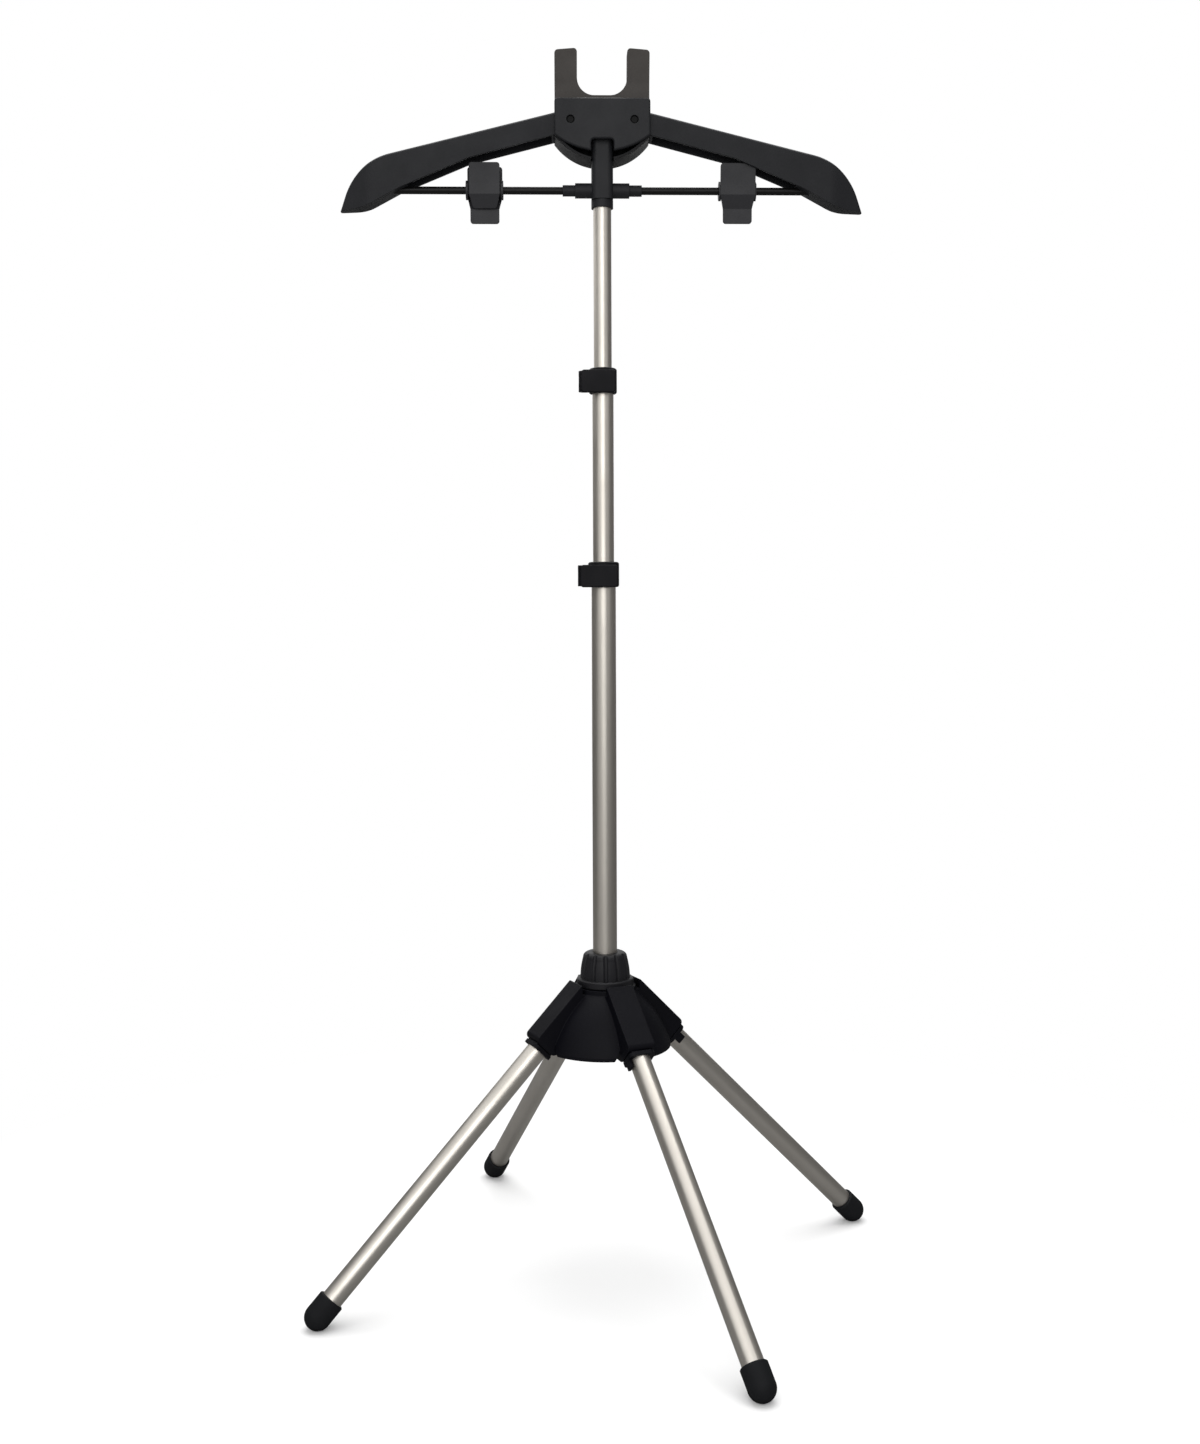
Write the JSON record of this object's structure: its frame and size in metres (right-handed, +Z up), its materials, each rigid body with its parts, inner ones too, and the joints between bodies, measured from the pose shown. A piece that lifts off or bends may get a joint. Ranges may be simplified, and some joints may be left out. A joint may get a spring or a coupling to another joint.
{
  "type": "garment steamer stand",
  "caption": "Free-standing garment stand: folding legs on a moulded hub, telescopic lever-clamped pole, coat hanger head with a forked handset rest and a trouser bar with sprung clips.",
  "frame": {"origin": "on the floor under the pole's axis", "axes": "+Z up along the pole, X along the hanger, front faces -Y"},
  "size_m": [0.525, 0.525, 1.1033],
  "materials": {
    "anodised_tube": "satin anodised",
    "rubber_foot": "matt",
    "spring_steel": "bright wire",
    "zinc_steel": "zinc plated",
    "black_screw": "black oxide",
    "black_rod": "black, semi-gloss",
    "hub_plastic": "black, moulded",
    "bush_plastic": "moulded",
    "clamp_plastic": "black, moulded",
    "hanger_plastic": "charcoal, fine satin texture"
  },
  "bodies": {
    "base": {"base_hub": "hub_plastic", "leg_pins": "spring_steel", "pole_collet": "bush_plastic"},
    "lock_nut": {"pole_lock_nut": "hub_plastic"},
    "lower_pole": {"lower_tube": "anodised_tube", "lower_clamp_collar": "clamp_plastic", "lower_clamp_pin": "zinc_steel", "lower_clamp_bolt": "zinc_steel", "lower_clamp_nut": "zinc_steel"},
    "lower_lever": {"lower_clamp_lever": "clamp_plastic"},
    "middle_pole": {"middle_tube": "anodised_tube", "middle_tube_bush": "bush_plastic", "upper_clamp_collar": "clamp_plastic", "upper_clamp_pin": "zinc_steel", "upper_clamp_bolt": "zinc_steel", "upper_clamp_nut": "zinc_steel"},
    "upper_lever": {"upper_clamp_lever": "clamp_plastic"},
    "hanger": {"handset_fork": "hanger_plastic", "hanger_stem": "hanger_plastic", "head_front_cover": "hanger_plastic", "head_rear_housing": "hanger_plastic", "head_screws": "black_screw", "left_arm": "hanger_plastic", "left_trouser_rod": "black_rod", "right_arm": "hanger_plastic", "right_trouser_rod": "black_rod", "stem_end_ring": "hanger_plastic", "upper_tube": "anodised_tube", "upper_tube_bush": "bush_plastic"},
    "leg_1": {"leg_knuckle_1": "hub_plastic", "leg_tube_1": "anodised_tube", "foot_cap_1": "rubber_foot"},
    "leg_2": {"leg_knuckle_2": "hub_plastic", "leg_tube_2": "anodised_tube", "foot_cap_2": "rubber_foot"},
    "leg_3": {"leg_knuckle_3": "hub_plastic", "leg_tube_3": "anodised_tube", "foot_cap_3": "rubber_foot"},
    "leg_4": {"leg_knuckle_4": "hub_plastic", "leg_tube_4": "anodised_tube", "foot_cap_4": "rubber_foot"},
    "left_clip": {"left_clip_long_jaw": "hanger_plastic", "left_clip_spring": "spring_steel"},
    "left_clip_jaw": {"left_clip_short_jaw": "hanger_plastic"},
    "right_clip": {"right_clip_long_jaw": "hanger_plastic", "right_clip_spring": "spring_steel"},
    "right_clip_jaw": {"right_clip_short_jaw": "hanger_plastic"}
  },
  "joints": [
    {"name": "leg_1_fold", "type": "hinge", "parent": "base", "child": "leg_1", "pos_m": [0.0123, -0.02736, 0.256], "axis": [0.9121, 0.4099, 0], "range_deg": [0, 45]},
    {"name": "leg_2_fold", "type": "hinge", "parent": "base", "child": "leg_2", "pos_m": [0.02736, 0.0123, 0.256], "axis": [-0.4099, 0.9121, 0], "range_deg": [0, 45]},
    {"name": "leg_3_fold", "type": "hinge", "parent": "base", "child": "leg_3", "pos_m": [-0.0123, 0.02736, 0.256], "axis": [-0.9121, -0.4099, 0], "range_deg": [0, 45]},
    {"name": "leg_4_fold", "type": "hinge", "parent": "base", "child": "leg_4", "pos_m": [-0.02736, -0.0123, 0.256], "axis": [0.4099, -0.9121, 0], "range_deg": [0, 45]},
    {"name": "pole_turn", "type": "hinge", "parent": "base", "child": "lower_pole", "pos_m": [0, 0, 0.25], "axis": [0, 0, 1], "continuous": true},
    {"name": "lock_nut_turn", "type": "hinge", "parent": "base", "child": "lock_nut", "pos_m": [0, 0, 0.28], "axis": [0, 0, 1], "range_deg": [0, 180]},
    {"name": "lower_lever_open", "type": "hinge", "parent": "lower_pole", "child": "lower_lever", "pos_m": [-0.018, -0.0117, 0.64525], "axis": [0, 0, -1], "range_deg": [0, 105]},
    {"name": "middle_slide", "type": "slide", "parent": "lower_pole", "child": "middle_pole", "axis": [0, 0, 1], "range_m": [-0.148, 0.16]},
    {"name": "upper_lever_open", "type": "hinge", "parent": "middle_pole", "child": "upper_lever", "pos_m": [-0.0165, -0.0102, 0.81725], "axis": [0, 0, -1], "range_deg": [0, 105]},
    {"name": "upper_slide", "type": "slide", "parent": "middle_pole", "child": "hanger", "axis": [0, 0, 1], "range_m": [-0.1375, 0.17]},
    {"name": "left_clip_slide", "type": "slide", "parent": "hanger", "child": "left_clip", "axis": [1, 0, 0], "range_m": [-0.05, 0.0515]},
    {"name": "right_clip_slide", "type": "slide", "parent": "hanger", "child": "right_clip", "axis": [1, 0, 0], "range_m": [-0.0675, 0.034]},
    {"name": "left_jaw_open", "type": "hinge", "parent": "left_clip", "child": "left_clip_jaw", "pos_m": [-0.104, 0, 0.984], "axis": [-1, 0, 0], "range_deg": [0, 20], "stiffness_Nm_per_rad": 0.3, "springref_deg": -20.05, "deforming": ["left_clip_spring"]},
    {"name": "right_jaw_open", "type": "hinge", "parent": "right_clip", "child": "right_clip_jaw", "pos_m": [0.12, 0, 0.984], "axis": [1, 0, 0], "range_deg": [0, 20], "stiffness_Nm_per_rad": 0.3, "springref_deg": -20.05, "deforming": ["right_clip_spring"]}
  ]
}
